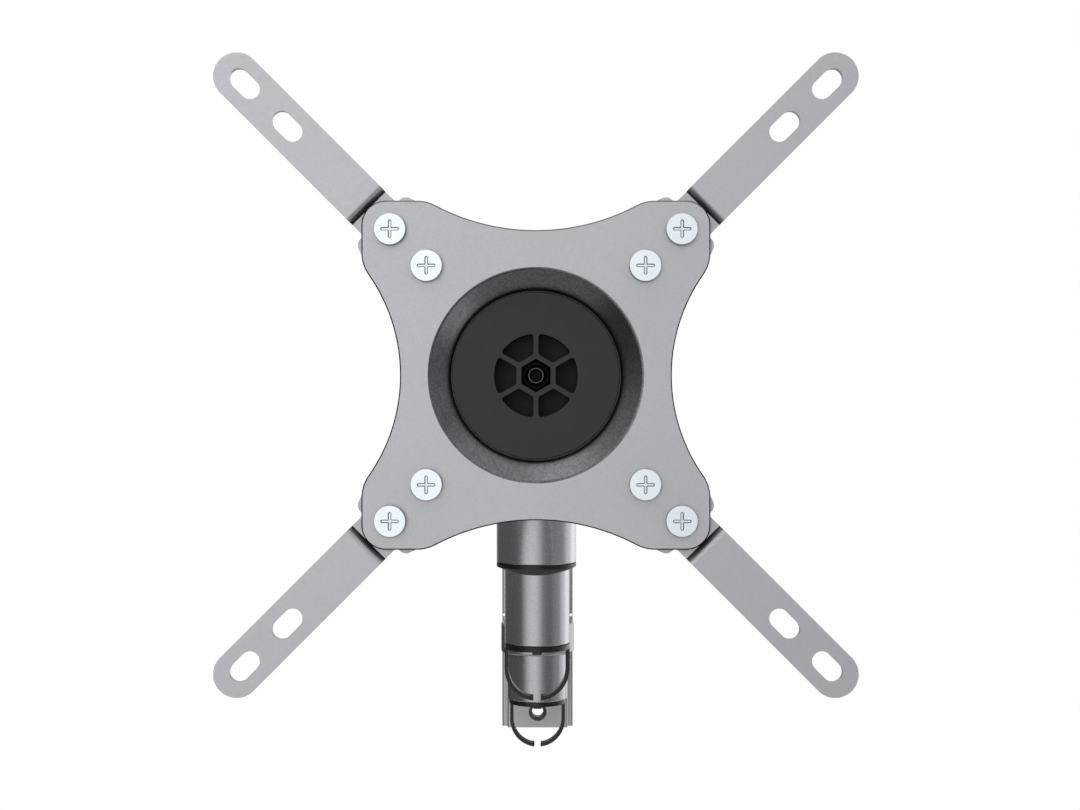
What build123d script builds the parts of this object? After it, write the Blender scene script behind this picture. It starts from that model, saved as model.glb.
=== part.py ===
from build123d import *
import math
import os

# Full-motion wall mount for a flat display, in millimetres.
# X is to the right and Z up, seen from the display. The wall is the plane Y = 0,
# and the mount reaches out of it along -Y. The origin is midway between the two wall
# holes, on the wall.

# Reach of the mount
wall_to_pivot = 43.0
arm_length = 145.0
head_reach = 75.0

# Heights
barrel_height = 50.5
barrel_gap = 2.3
post_bottom = -34.9

# Clearances
running_gap = 0.05
face_gap = 0.05
bore_gap = 0.1
slot_gap = 0.2

# Wall plate, a hat-shaped profile
plate_width = 42.0
plate_height = 118.2
flange_thickness = 3.4
web_width = 35.6
web_front = 8.0
web_thickness = 3.3
web_side = 2.6
profile_round = 1.3
wall_hole_spacing = 100.0
wall_hole_d = 6.7
wall_sink_d = 10.6
wall_boss_d = 14.0
notch_d = 2.0
notch_inset = 1.2
notch_rise = 6.8

# Wall bracket: pad, neck, collar and post
pad_width = 33.0
pad_height = 66.0
pad_thickness = 6.5
pad_round = 5.0
neck_width = 26.0
gusset_thickness = 7.0
collar_d = 41.5
collar_height = 17.0
collar_round = 1.3
post_d = 34.4
bracket_screw_d = 5.0
bracket_screw_head_d = 9.4
bracket_screw_bite = 5.0
bracket_screw_x = 10.5
bracket_screw_z = 25.0

# Arms: a barrel at each end and a cored web between them
barrel_d = 31.0
barrel_round = 0.6
web_inset = 4.0
arm_web_width = 25.0
arm_web_waist = 21.0
arm_wall = 3.0
arm_rib = 3.0
arm_roof = 5.0
arm_edge_round = 2.5
core_cells = 3
core_round = 2.5
arm_panel_inset = 8.0
arm_panel_border = 7.0
arm_panel_skin = 2.0
arm_panel_round = 5.0

# Pivot hardware, one set at each of the three upright axes
bolt_d = 10.0
bolt_head_af = 17.0
bolt_head_height = 6.4
nut_height = 8.0
bolt_tail = 1.5
washer_d = 20.0
washer_height = 2.0
bush_wall = 2.0
bush_length = 14.0
bush_flange_d = 20.0
bush_flange = 1.5
glide_inset = 1.0
top_bore_d = 22.0
foot_bore_d = 23.0
cap_plug = 2.5
cap_head_room = 0.6
cap_wall = 1.6

# Caps and cable clips
top_cap_height = 1.6
top_cap_round = 0.9
foot_cap_height = 2.6
foot_cap_edge = 0.1
post_cap_inset = 0.95
clip_overhang = 0.05
clip_thickness = 1.85
clip_end_thickness = 2.2
clip_depth = 6.0
clip_leg = 9.4
clip_gap = 3.5
clip_lip = 3.0
nub_width = 4.6
nub_height = 1.0
nub_depth = 1.6
dome_band = 1.5
dome_rise = 3.6

# Head post and tilt joint
head_post_height = 37.2
tilt_setback = 38.0
tongue_thickness = 14.0
tongue_r = 11.0
tongue_root = 25.0
tilt_bolt_d = 8.0
tilt_head_af = 13.0
tilt_head_height = 5.3
tilt_nut_height = 6.5
tilt_washer_d = 21.0
tilt_washer_height = 1.1
tilt_outer_washer_d = 16.0
tilt_outer_washer_height = 1.6
ear_thickness = 5.5
ear_root_height = 34.0
ear_root_length = 5.0
tilt_flange_d = 56.0
tilt_flange_thickness = 5.0
tilt_flange_round = 0.8

# Front plate and its dish
front_size = 119.8
front_thickness = 3.0
front_corner_r = 8.4
front_side_waist = 93.3
front_top_waist = 99.6
front_side_arc_r = 60.0
front_top_arc_r = 74.0
front_blend_r = 13.0
front_bevel = 0.45
dish_outer_d = 73.3
dish_seat_d = 59.2
dish_cone_depth = 6.0
dish_rim_round = 1.4
dish_seat_round = 2.8

# Clamp disc with its spoked hub
disc_d = 58.2
disc_thickness = 3.2
disc_edge_round = 0.4
hub_barrel_d = 34.0
hub_barrel_length = 6.4
hub_pocket_r = 14.5
hub_pocket_depth = 8.2
hub_pocket_round = 1.0
hub_rib = 1.7
hub_hex_af = 10.0
hub_hex_wall = 1.8
hub_hex_depth = 7.6
hub_bolt_d = 6.0
hub_nut_height = 5.0
hub_bolt_tail = 1.6
hub_bolt_point = 0.5
hub_bolt_head_height = 4.0
friction_ring_height = 1.5
friction_ring_d = 54.0

# Plate screws on the two square display patterns
inner_pattern = 75.0
outer_pattern = 100.0
screw_d = 5.0
screw_head_d = 11.0
screw_head_height = 2.1
screw_head_round = 0.25
cross_length = 6.4
cross_width = 1.2
cross_depth = 0.6
cross_draft = 30.0
screw_nut_af = 8.0
screw_nut_height = 4.0
screw_nut_flange_d = 11.0
screw_nut_flange = 1.2
screw_tail = 1.0

# Extension arms, pressed sheet with a crank
far_pattern = 200.0
near_slot = 50.0
sheet = 2.5
reach_width = 16.2
reach_end = 3.7
slot_width = 6.8
slot_length = 12.2
slot_tilt_span = 45.0
tail_margin = 5.4
shoulder_along = 2.3
shoulder_across = 9.6
shoulder_r = 3.0
shoulder_blend = 1.5
crank_clearance = 0.5
crank_run = 1.2
crank_inner_r = 0.5
crank_outer_r = 1.8

# Places that follow from the sizes above
wall_axis = -wall_to_pivot
elbow_axis = wall_axis - arm_length
head_axis = elbow_axis - arm_length
front_y = head_axis - head_reach
rear_y = front_y + front_thickness
post_top = post_bottom + barrel_height
rear_arm_bottom = post_top + barrel_gap
rear_arm_top = rear_arm_bottom + barrel_height
front_arm_bottom = rear_arm_top + barrel_gap
front_arm_top = front_arm_bottom + barrel_height
head_post_bottom = front_arm_top + barrel_gap
head_post_top = head_post_bottom + head_post_height
face_height = head_post_bottom + head_post_height / 2
post_top_round = min(barrel_round, (post_top - collar_height / 2) / 2)
bore_d = bolt_d + 2 * running_gap
bush_d = bolt_d + 2 * bush_wall
top_bore_depth = bush_flange + washer_height + bolt_head_height + cap_head_room + cap_plug
foot_bore_depth = washer_height + nut_height + bolt_tail + cap_head_room + cap_plug
tilt_axis = front_y + tilt_setback
dish_floor = front_y + dish_cone_depth + disc_thickness
dish_back = dish_floor + front_thickness
tilt_flange_front = dish_back + friction_ring_height
tilt_flange_back = tilt_flange_front + tilt_flange_thickness
disc_front = dish_floor - disc_thickness
hub_back = dish_floor + hub_barrel_length
ear_inside = tongue_thickness / 2 + tilt_washer_height
ear_outside = ear_inside + ear_thickness
screw_spread = (outer_pattern - inner_pattern) / 2 * math.sqrt(2)
far_slot = (far_pattern - outer_pattern) / 2 * math.sqrt(2)
plate_corner = (front_size / 2 - front_corner_r) * math.sqrt(2) + front_corner_r
crank_start = plate_corner - outer_pattern / 2 * math.sqrt(2) + crank_clearance
arm_back = rear_y + sheet
glide_d = barrel_d - 2 * glide_inset
post_cap_d = post_d - 2 * post_cap_inset
clip_width = barrel_d + 2 * clip_overhang
clip_drop = clip_leg + clip_width / 2


# Helpers for placing plain forms

def rod_z(y, low, high, diameter, x=0.0):
    """A round bar standing on the axis at x, y."""
    return Pos(x, y, (low + high) / 2) * Cylinder(diameter / 2, high - low)


def rod_y(x, z, near, far, diameter):
    """A round bar lying front to back."""
    return Pos(x, (near + far) / 2, z) * Rot(90, 0, 0) * Cylinder(diameter / 2, far - near)


def rod_x(y, z, left, right, diameter):
    """A round bar lying left to right."""
    return Pos((left + right) / 2, y, z) * Rot(0, 90, 0) * Cylinder(diameter / 2, right - left)


def block(x0, x1, y0, y1, z0, z1):
    """A rectangular block between two corners."""
    return Pos((x0 + x1) / 2, (y0 + y1) / 2, (z0 + z1) / 2) * Box(x1 - x0, y1 - y0, z1 - z0)


def slab(sketch, near, far, x=0.0, z=0.0):
    """A sketch seen from the front, cut out of a slab between two depths."""
    back = Plane(origin=(x, far, z), x_dir=(1, 0, 0), z_dir=(0, -1, 0))
    return extrude(back * sketch, far - near, dir=(0, -1, 0))


def column(sketch, y, low, high):
    """A sketch seen from above, raised between two heights."""
    return extrude(Plane(origin=(0, y, low)) * sketch, high - low, dir=(0, 0, 1))


def across(sketch, left, right):
    """A sketch of Y and Z, seen from the right side, spread between two X places."""
    side = Plane(origin=(left, 0, 0), x_dir=(0, 1, 0), z_dir=(1, 0, 0))
    return extrude(side * sketch, right - left, dir=(1, 0, 0))


def hexagon(flats):
    """A hexagon of the given width over its flats, with corners up and down."""
    return RegularPolygon(flats / 2, 6, major_radius=False, rotation=30)


def edges_at_height(shape, z, tolerance=0.01):
    """The edges that lie level at one height."""
    return [e for e in shape.edges() if abs(e.bounding_box().min.Z - z) < tolerance
            and abs(e.bounding_box().max.Z - z) < tolerance]


def edges_at_depth(shape, y, tolerance=0.01):
    """The edges that lie in one upright plane facing the wall."""
    return [e for e in shape.edges() if abs(e.bounding_box().min.Y - y) < tolerance
            and abs(e.bounding_box().max.Y - y) < tolerance]


# Wall plate and bracket

def make_wall_plate():
    """The hat-shaped profile with a countersunk hole through a boss at each end."""
    half = plate_width / 2
    hat = web_width / 2
    inside = hat - web_side
    outline = Polygon(
        (-half, 0), (-inside, 0), (-inside, -(web_front - web_thickness)),
        (inside, -(web_front - web_thickness)), (inside, 0), (half, 0),
        (half, -flange_thickness), (hat, -flange_thickness), (hat, -web_front),
        (-hat, -web_front), (-hat, -flange_thickness), (-half, -flange_thickness),
        align=None)
    rounded = [v for v in outline.vertices() if v.Y < -flange_thickness + 0.01 and
               (abs(v.X) > hat + 0.01 or v.Y < -web_front + 0.01)]
    outline = fillet(rounded, profile_round)
    plate = column(outline, 0, -plate_height / 2, plate_height / 2)
    web_back = web_thickness - web_front
    sink = (wall_sink_d - wall_hole_d) / 2
    for side in (-1, 1):
        z = side * wall_hole_spacing / 2
        plate += rod_y(0, z, web_back - 1, 0, wall_boss_d)
        plate -= rod_y(0, z, -web_front - 1, 1, wall_hole_d)
        cone = Cone(wall_hole_d / 2, wall_sink_d / 2, sink)
        plate -= Pos(0, -web_front + sink / 2, z) * Rot(90, 0, 0) * cone
        for height in (-notch_rise, notch_rise):
            x = side * (half - notch_inset)
            plate -= rod_y(x, height, -flange_thickness - 1, 1, notch_d)
    for x, z in bracket_screw_places():
        plate -= bracket_screw_hole(x, z)
    return plate


def bracket_screw_places():
    """The four screws that hold the bracket, seen from behind."""
    return [(sx * bracket_screw_x, sz * bracket_screw_z) for sx in (-1, 1) for sz in (-1, 1)]


def bracket_screw_body(x, z, ease, bite):
    """A countersunk screw pointing out of the wall, or its hole when eased."""
    back = -(web_front - web_thickness)
    head = (bracket_screw_head_d - bracket_screw_d) / 2
    cone = Cone(bracket_screw_head_d / 2 + ease, bracket_screw_d / 2 + ease, head)
    body = Pos(x, back - head / 2, z) * Rot(90, 0, 0) * cone
    return body + rod_y(x, z, -web_front - bite, back - head / 2, bracket_screw_d + 2 * ease)


def bracket_screw_hole(x, z):
    """The countersunk hole in the web."""
    return bracket_screw_body(x, z, running_gap, bracket_screw_bite)


def make_bracket_screws():
    """Four countersunk screws through the web into the bracket's pad."""
    drive = RegularPolygon(bracket_screw_d * 0.35, 6)
    back = -(web_front - web_thickness)
    screws = []
    for x, z in bracket_screw_places():
        screw = bracket_screw_body(x, z, 0.0, bracket_screw_bite - bore_gap)
        screws.append(screw - slab(drive, back - 1.6, back + 1, x, z))
    return Compound(children=[s.solid() for s in screws])


def make_wall_bracket():
    """The casting that holds the wall post in a collar on a screwed pad."""
    pad_front = -web_front - pad_thickness
    pad = slab(RectangleRounded(pad_width, pad_height, pad_round), pad_front, -web_front)
    collar = rod_z(wall_axis, -collar_height / 2, collar_height / 2, collar_d)
    collar = fillet(collar.edges().filter_by(GeomType.CIRCLE), collar_round)
    post = rod_z(wall_axis, post_bottom, post_top, post_d)
    neck = block(-neck_width / 2, neck_width / 2, wall_axis, pad_front + 1,
                 -collar_height / 2, collar_height / 2)
    reach = wall_axis + post_d / 2 - 1
    high = pad_height / 2 - pad_round
    low = min(-post_bottom, post_top) - barrel_round - 1
    gusset = Polygon((pad_front + 1, -high), (pad_front + 1, high), (reach, low),
                     (reach, -low), align=None)
    bracket = pad + collar + neck + post
    bracket += across(gusset, -gusset_thickness / 2, gusset_thickness / 2)
    bracket = fillet(edges_at_height(bracket, post_bottom), barrel_round)
    bracket = fillet(edges_at_height(bracket, post_top), post_top_round)
    for x, z in bracket_screw_places():
        bracket -= bracket_screw_hole(x, z)
    return bracket - foot_bores(wall_axis, post_bottom, post_top)


# Barrels and pivot hardware

def foot_bores(y, bottom, top):
    """Bolt bore and nut pocket of a lower barrel."""
    return (rod_z(y, bottom - 1, top + 1, bore_d)
            + rod_z(y, bottom - 1, bottom + foot_bore_depth, foot_bore_d))


def head_bores(y, bottom, top):
    """Bush bore, head pocket and flange recess of an upper barrel."""
    recess = bush_flange_d + 2 * bore_gap
    return (rod_z(y, bottom - 1, top + 1, bush_d + 2 * running_gap)
            + rod_z(y, top - top_bore_depth, top + 1, top_bore_d)
            + rod_z(y, bottom - 1, bottom + bush_flange, recess))


def make_bushes(y, bottom, top):
    """Two flanged bushes, one in each end of an upper barrel."""
    seat = top - top_bore_depth
    lower = (rod_z(y, bottom, bottom + bush_length, bush_d)
             + rod_z(y, bottom, bottom + bush_flange - face_gap, bush_flange_d))
    upper = (rod_z(y, seat + bush_flange - bush_length, seat + bush_flange, bush_d)
             + rod_z(y, seat + face_gap, seat + bush_flange, bush_flange_d))
    bore = rod_z(y, bottom - 1, top + 1, bore_d)
    return Compound(children=[(lower - bore).solid(), (upper - bore).solid()])


def washer(y, low, high, outer):
    """A flat ring around the pivot bolt."""
    return rod_z(y, low, high, outer) - rod_z(y, low - 1, high + 1, bore_d)


def make_pivot(y, foot_bottom, foot_top, head_top):
    """Bolt, nut, washers and glide washer of one upright pivot."""
    head_seat = head_top - top_bore_depth + bush_flange + washer_height + 2 * face_gap
    nut_top = foot_bottom + foot_bore_depth - washer_height - 2 * face_gap
    tip = nut_top - nut_height - bolt_tail
    head = column(hexagon(bolt_head_af), y, head_seat, head_seat + bolt_head_height)
    bolt = rod_z(y, tip, head_seat, bolt_d) + head
    nut = column(hexagon(bolt_head_af), y, nut_top - nut_height, nut_top)
    nut -= rod_z(y, nut_top - nut_height - 1, nut_top + 1, bore_d)
    washers = Compound(children=[
        washer(y, head_seat - face_gap - washer_height, head_seat - face_gap, washer_d).solid(),
        washer(y, nut_top + face_gap, nut_top + face_gap + washer_height, washer_d).solid()])
    glide = washer(y, foot_top + face_gap, foot_top + barrel_gap - face_gap, glide_d)
    return {"bolt": bolt, "nut": nut, "washers": washers, "glide_washer": glide}


def make_top_cap(y, top):
    """A shallow cap that closes the bolt head's pocket."""
    disc = rod_z(y, top, top + top_cap_height, barrel_d)
    disc = fillet(edges_at_height(disc, top + top_cap_height), top_cap_round)
    plug_d = top_bore_d - 2 * bore_gap
    plug = rod_z(y, top - cap_plug, top, plug_d)
    plug -= rod_z(y, top - cap_plug - 1, top, plug_d - 2 * cap_wall)
    return disc + plug


def foot_plug(y, bottom):
    """The ring of a bottom cap that grips in the nut pocket."""
    plug_d = foot_bore_d - 2 * bore_gap
    plug = rod_z(y, bottom, bottom + cap_plug, plug_d)
    return plug - rod_z(y, bottom, bottom + cap_plug + 1, plug_d - 2 * cap_wall)


def clip_strip():
    """The open loop of a cable clip, seen from the front, hanging from height 0."""
    outer = clip_width / 2
    inner = outer - clip_thickness
    loop = Pos(0, -clip_leg) * (Circle(outer) - Circle(inner))
    loop -= Pos(0, outer - clip_leg) * Rectangle(2 * clip_width, 2 * outer)
    legs = Pos(0, -clip_leg / 2) * (Rectangle(clip_width, clip_leg)
                                   - Rectangle(2 * inner, clip_leg))
    lip = Pos(0, -clip_leg) * (Circle(outer) - Circle(outer - clip_end_thickness))
    lip_window = Rectangle(clip_gap + 2 * clip_lip, clip_end_thickness * 2)
    lip &= Pos(0, -clip_drop) * lip_window
    strip = loop + legs + lip
    return strip - Pos(0, -clip_drop) * Rectangle(clip_gap, 3 * clip_end_thickness)


def make_cap_clip(y, bottom, cap_d):
    """A bottom cap with its plug, finger nub and hanging cable clip in one moulding."""
    low = bottom - foot_cap_height
    cap = rod_z(y, low, bottom - foot_cap_edge, cap_d)
    cap += rod_z(y, bottom - foot_cap_edge, bottom, cap_d - 1)
    cap += foot_plug(y, bottom)
    cap += slab(clip_strip(), y - clip_depth / 2, y + clip_depth / 2, 0, low)
    nub_y = y - cap_d / 2 + nub_depth / 2 + 0.3
    nub = block(-nub_width / 2, nub_width / 2, nub_y - nub_depth / 2, nub_y + nub_depth / 2,
                low - nub_height, low)
    return cap + nub


def make_end_cap(y, bottom):
    """The domed bottom cap of the head barrel."""
    r = barrel_d / 2
    sphere = (r * r + dome_rise * dome_rise) / (2 * dome_rise)
    low = bottom - dome_band
    dome = Pos(0, y, low - dome_rise + sphere) * Sphere(sphere)
    dome &= rod_z(y, low - dome_rise - 1, low, barrel_d)
    cap = rod_z(y, low, bottom - foot_cap_edge, barrel_d) + dome
    cap += rod_z(y, bottom - foot_cap_edge, bottom, barrel_d - 1)
    return cap + foot_plug(y, bottom)


# Arms

def make_arm(bottom, foot_y, head_y):
    """A cast arm: head bores at the wall end, foot bores at the far end."""
    top = bottom + barrel_height
    barrels = rod_z(foot_y, bottom, top, barrel_d) + rod_z(head_y, bottom, top, barrel_d)
    length = abs(head_y - foot_y)
    middle = (foot_y + head_y) / 2
    end = arm_web_width / 2
    waist = arm_web_waist / 2
    bow = ThreePointArc((-length / 2, end), (0, waist), (length / 2, end))
    far = Line((length / 2, end), (length / 2, -end))
    back = ThreePointArc((length / 2, -end), (0, -waist), (-length / 2, -end))
    near = Line((-length / 2, -end), (-length / 2, end))
    shape = make_face([bow, far, back, near])
    level = Plane(origin=(0, middle, bottom + web_inset), x_dir=(0, 1, 0), z_dir=(0, 0, 1))
    web = extrude(level * shape, barrel_height - 2 * web_inset, dir=(0, 0, 1))
    web = fillet(web.edges().filter_by(GeomType.CIRCLE), arm_edge_round)
    arm = fillet(barrels.edges().filter_by(GeomType.CIRCLE), barrel_round) + web
    span = length - barrel_d - 2 * arm_wall
    cell = (span - (core_cells - 1) * arm_rib) / core_cells
    width = arm_web_waist - 2 * arm_wall
    height = barrel_height - web_inset - arm_roof
    pocket = RectangleRounded(width, cell, core_round)
    for i in range(core_cells):
        y = middle - span / 2 + cell / 2 + i * (cell + arm_rib)
        arm -= column(pocket, y, bottom - 1, bottom + height)
    panel = RectangleRounded(length - barrel_d - 2 * arm_panel_inset,
                             barrel_height - 2 * (web_inset + arm_panel_border), arm_panel_round)
    for side in (-1, 1):
        floor = side * (width / 2 + arm_panel_skin)
        face = Plane(origin=(floor, middle, bottom + barrel_height / 2), x_dir=(0, 1, 0),
                     z_dir=(side, 0, 0))
        arm -= extrude(face * panel, arm_web_width, dir=(side, 0, 0))
    return arm


def make_rear_arm():
    """The lower arm, from the wall post to the elbow."""
    arm = make_arm(rear_arm_bottom, elbow_axis, wall_axis)
    arm -= head_bores(wall_axis, rear_arm_bottom, rear_arm_top)
    return arm - foot_bores(elbow_axis, rear_arm_bottom, rear_arm_top)


def make_front_arm():
    """The upper arm, from the elbow to the head."""
    arm = make_arm(front_arm_bottom, head_axis, elbow_axis)
    arm -= head_bores(elbow_axis, front_arm_bottom, front_arm_top)
    return arm - foot_bores(head_axis, front_arm_bottom, front_arm_top)


# Head

def make_head_post():
    """The upper barrel of the head pivot with the tongue of the tilt joint."""
    post = rod_z(head_axis, head_post_bottom, head_post_top, barrel_d)
    post = fillet(post.edges().filter_by(GeomType.CIRCLE), barrel_round)
    tip = tongue_thickness / 2
    root = tongue_root / 2
    shoulder = head_axis - barrel_d / 2 + 2
    step = (tilt_axis + tongue_r + shoulder) / 2
    plan = Polygon((-root, head_axis), (-root, shoulder), (-tip, step),
                   (-tip, tilt_axis - tongue_r), (tip, tilt_axis - tongue_r), (tip, step),
                   (root, shoulder), (root, head_axis), align=None)
    low = head_post_bottom + barrel_round
    high = head_post_top - barrel_round
    side = Polygon((head_axis, low), (head_axis, high), (shoulder, high),
                   (tilt_axis, face_height + tongue_r), (tilt_axis, face_height - tongue_r),
                   (shoulder, low), align=None)
    side += Pos(tilt_axis, face_height) * Circle(tongue_r)
    tongue = column(plan, 0, low, high)
    tongue &= across(side, -root, root)
    post += tongue
    post -= head_bores(head_axis, head_post_bottom, head_post_top)
    bore = tilt_bolt_d + 2 * running_gap
    return post - rod_x(tilt_axis, face_height, -barrel_d, barrel_d, bore)


def make_tilt_bracket():
    """The round flange behind the dish with the two ears of the tilt joint."""
    flange = rod_y(0, face_height, tilt_flange_front, tilt_flange_back, tilt_flange_d)
    flange = fillet(edges_at_depth(flange, tilt_flange_back), tilt_flange_round)
    root = ear_root_height / 2
    back = tilt_flange_back - 1
    side = Polygon((back, face_height - root), (back, face_height + root),
                   (back + ear_root_length, face_height + root),
                   (tilt_axis, face_height + tongue_r), (tilt_axis, face_height - tongue_r),
                   (back + ear_root_length, face_height - root), align=None)
    side += Pos(tilt_axis, face_height) * Circle(tongue_r)
    bracket = flange
    for left in (-ear_outside, ear_inside):
        bracket += across(side, left, left + ear_thickness)
    bore = tilt_bolt_d + 2 * running_gap
    bracket -= rod_x(tilt_axis, face_height, -barrel_d, barrel_d, bore)
    socket = hub_barrel_d + 2 * running_gap
    bracket -= rod_y(0, face_height, tilt_flange_front - 1, hub_back + face_gap, socket)
    hole = hub_bolt_d + 2 * bore_gap
    return bracket - rod_y(0, face_height, tilt_flange_front - 1, tilt_axis, hole)


def make_tilt_bolt():
    """The cross bolt of the tilt joint."""
    left = -ear_outside - tilt_outer_washer_height - 2 * face_gap
    right = ear_outside + tilt_outer_washer_height + tilt_nut_height + bolt_tail
    bolt = rod_x(tilt_axis, face_height, left, right, tilt_bolt_d)
    head = Plane(origin=(left - tilt_head_height, tilt_axis, face_height), z_dir=(1, 0, 0))
    return bolt + extrude(head * hexagon(tilt_head_af), tilt_head_height)


def make_tilt_nut():
    """The self-locking nut of the tilt joint."""
    left = ear_outside + tilt_outer_washer_height + 2 * face_gap
    start = Plane(origin=(left, tilt_axis, face_height), z_dir=(1, 0, 0))
    nut = extrude(start * hexagon(tilt_head_af), tilt_nut_height)
    bore = tilt_bolt_d + 2 * running_gap
    return nut - rod_x(tilt_axis, face_height, left - 1, left + tilt_nut_height + 1, bore)


def tilt_ring(left, right, outer):
    """A flat ring around the tilt bolt."""
    bore = tilt_bolt_d + 2 * running_gap
    ring = rod_x(tilt_axis, face_height, left, right, outer)
    return (ring - rod_x(tilt_axis, face_height, left - 1, right + 1, bore)).solid()


def make_tilt_friction_washers():
    """The two glide washers between the tongue and the ears."""
    near = tongue_thickness / 2 + face_gap
    far = ear_inside - face_gap
    return Compound(children=[tilt_ring(near, far, tilt_washer_d),
                              tilt_ring(-far, -near, tilt_washer_d)])


def make_tilt_washers():
    """The two steel washers outside the ears."""
    near = ear_outside + face_gap
    far = near + tilt_outer_washer_height
    return Compound(children=[tilt_ring(near, far, tilt_outer_washer_d),
                              tilt_ring(-far, -near, tilt_outer_washer_d)])


# Front plate

def front_outline():
    """The square plate with four hollow sides and rounded corners."""
    square = RectangleRounded(front_size, front_size, front_corner_r)
    for sign in (-1, 1):
        side = sign * (front_side_waist / 2 + front_side_arc_r)
        top = sign * (front_top_waist / 2 + front_top_arc_r)
        square -= Pos(side, 0) * Circle(front_side_arc_r)
        square -= Pos(0, top) * Circle(front_top_arc_r)
    half = front_size / 2
    shoulders = [v for v in square.vertices()
                 if min(abs(v.X), abs(v.Y)) < half - front_corner_r - 3
                 and max(abs(v.X), abs(v.Y)) > half - 0.01]
    return fillet(shoulders, front_blend_r)


def make_front_plate():
    """The front plate, pressed with a conical dish and drilled for its screws."""
    plate = slab(front_outline(), front_y, rear_y, 0, face_height)
    plate = chamfer(edges_at_depth(plate, front_y), front_bevel)
    mouth = dish_outer_d / 2
    seat = dish_seat_d / 2
    bore = hub_barrel_d / 2 + running_gap
    slope = math.atan2(mouth - seat, dish_cone_depth)
    knee = front_thickness * math.tan(slope / 2)
    flare = mouth + (front_thickness - knee) * math.tan(slope)
    rim = mouth + front_thickness
    section = Polygon(
        (mouth, front_y), (seat, front_y + dish_cone_depth), (seat, dish_floor),
        (bore, dish_floor), (bore, dish_back), (seat + front_thickness, dish_back),
        (seat + front_thickness, front_y + dish_cone_depth + knee),
        (mouth + front_thickness / math.cos(slope) - front_thickness * math.tan(slope), rear_y),
        (rim + flare - mouth, rear_y), (rim + flare - mouth, front_y), align=None)
    upright = Plane(origin=(0, 0, face_height), x_dir=(1, 0, 0), z_dir=(0, 0, 1))
    dish = revolve(upright * section, Axis((0, 0, face_height), (0, 1, 0)))
    plate -= rod_y(0, face_height, front_y - 1, rear_y + 1, 2 * (rim + flare - mouth))
    plate += dish
    rim_edges = [e for e in edges_at_depth(plate, front_y)
                 if abs(e.bounding_box().size.X - dish_outer_d) < 0.1]
    plate = fillet(rim_edges, dish_rim_round)
    seat_edges = [e for e in edges_at_depth(plate, front_y + dish_cone_depth)
                  if abs(e.bounding_box().size.X - dish_seat_d) < 0.1]
    plate = fillet(seat_edges, dish_seat_round)
    for pattern in (inner_pattern, outer_pattern):
        for x, z in corners(pattern):
            plate -= rod_y(x, z, front_y - 1, rear_y + 1, screw_d + 2 * bore_gap)
    return plate


def corners(pattern):
    """The four points of a square screw pattern about the plate's middle."""
    half = pattern / 2
    return [(sx * half, face_height + sz * half) for sx in (-1, 1) for sz in (-1, 1)]


def make_clamp_disc():
    """The disc in the dish, with six sector pockets around a hexagon hub."""
    flange = rod_y(0, face_height, disc_front, dish_floor - face_gap, disc_d)
    flange = fillet(edges_at_depth(flange, disc_front), disc_edge_round)
    disc = flange + rod_y(0, face_height, disc_front + 1, hub_back, hub_barrel_d)
    hub = hub_hex_af + 2 * hub_hex_wall
    ring = Circle(hub_pocket_r) - hexagon(hub)
    spread = 2 * hub_pocket_r
    wedge = Polygon((0, 0), (spread, -spread * math.tan(math.radians(30))),
                    (spread, spread * math.tan(math.radians(30))), align=None)
    trim = Rot(0, 0, 30) * (Pos(spread / 2, 0) * Rectangle(spread, hub_rib))
    trim += Rot(0, 0, -30) * (Pos(spread / 2, 0) * Rectangle(spread, hub_rib))
    pocket = (ring & wedge) - trim
    pocket = fillet(pocket.vertices(), hub_pocket_round)
    for i in range(6):
        turned = Rot(0, 0, 60 * i) * pocket
        disc -= slab(turned, disc_front - 1, disc_front + hub_pocket_depth, 0, face_height)
    disc -= slab(hexagon(hub_hex_af + 2 * running_gap), disc_front - 1,
                 disc_front + hub_hex_depth, 0, face_height)
    hole = hub_bolt_d + 2 * bore_gap
    return disc - rod_y(0, face_height, disc_front, hub_back + 1, hole)


def make_hub_nut():
    """The nut held in the hub's hexagon."""
    back = disc_front + hub_hex_depth
    nut = slab(hexagon(hub_hex_af), back - hub_nut_height, back, 0, face_height)
    bore = hub_bolt_d + 2 * running_gap
    nut -= rod_y(0, face_height, back - hub_nut_height - 1, back + 1, bore)
    return nut


def make_hub_bolt():
    """The bolt that clamps disc, dish and tilt flange, with a chamfered tip."""
    tip = disc_front + hub_hex_depth - hub_nut_height - hub_bolt_tail
    bolt = rod_y(0, face_height, tip, tilt_flange_back + face_gap, hub_bolt_d)
    bolt = chamfer(edges_at_depth(bolt, tip), hub_bolt_point)
    return bolt + slab(hexagon(hub_hex_af), tilt_flange_back + face_gap,
                       tilt_flange_back + face_gap + hub_bolt_head_height, 0, face_height)


def make_friction_ring():
    """The ring between the dish floor and the tilt flange."""
    near = dish_back + face_gap
    far = tilt_flange_front - face_gap
    ring = rod_y(0, face_height, near, far, friction_ring_d)
    bore = hub_barrel_d + 2 * bore_gap
    return ring - rod_y(0, face_height, near - 1, far + 1, bore)


def make_plate_screws(pattern):
    """Four large-headed cross screws on one square pattern."""
    tip = arm_back + screw_nut_height + screw_tail
    screws = []
    for x, z in corners(pattern):
        head = rod_y(x, z, front_y - screw_head_height, front_y, screw_head_d)
        head = fillet(edges_at_depth(head, front_y - screw_head_height), screw_head_round)
        face = Plane(origin=(x, front_y - screw_head_height, z), x_dir=(1, 0, 0), z_dir=(0, 1, 0))
        cross = SlotOverall(cross_length, cross_width)
        cross += Rot(0, 0, 90) * SlotOverall(cross_length, cross_width)
        head -= extrude(face * cross, cross_depth, taper=cross_draft)
        screws.append((head + rod_y(x, z, front_y, tip, screw_d)).solid())
    return Compound(children=screws)


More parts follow.
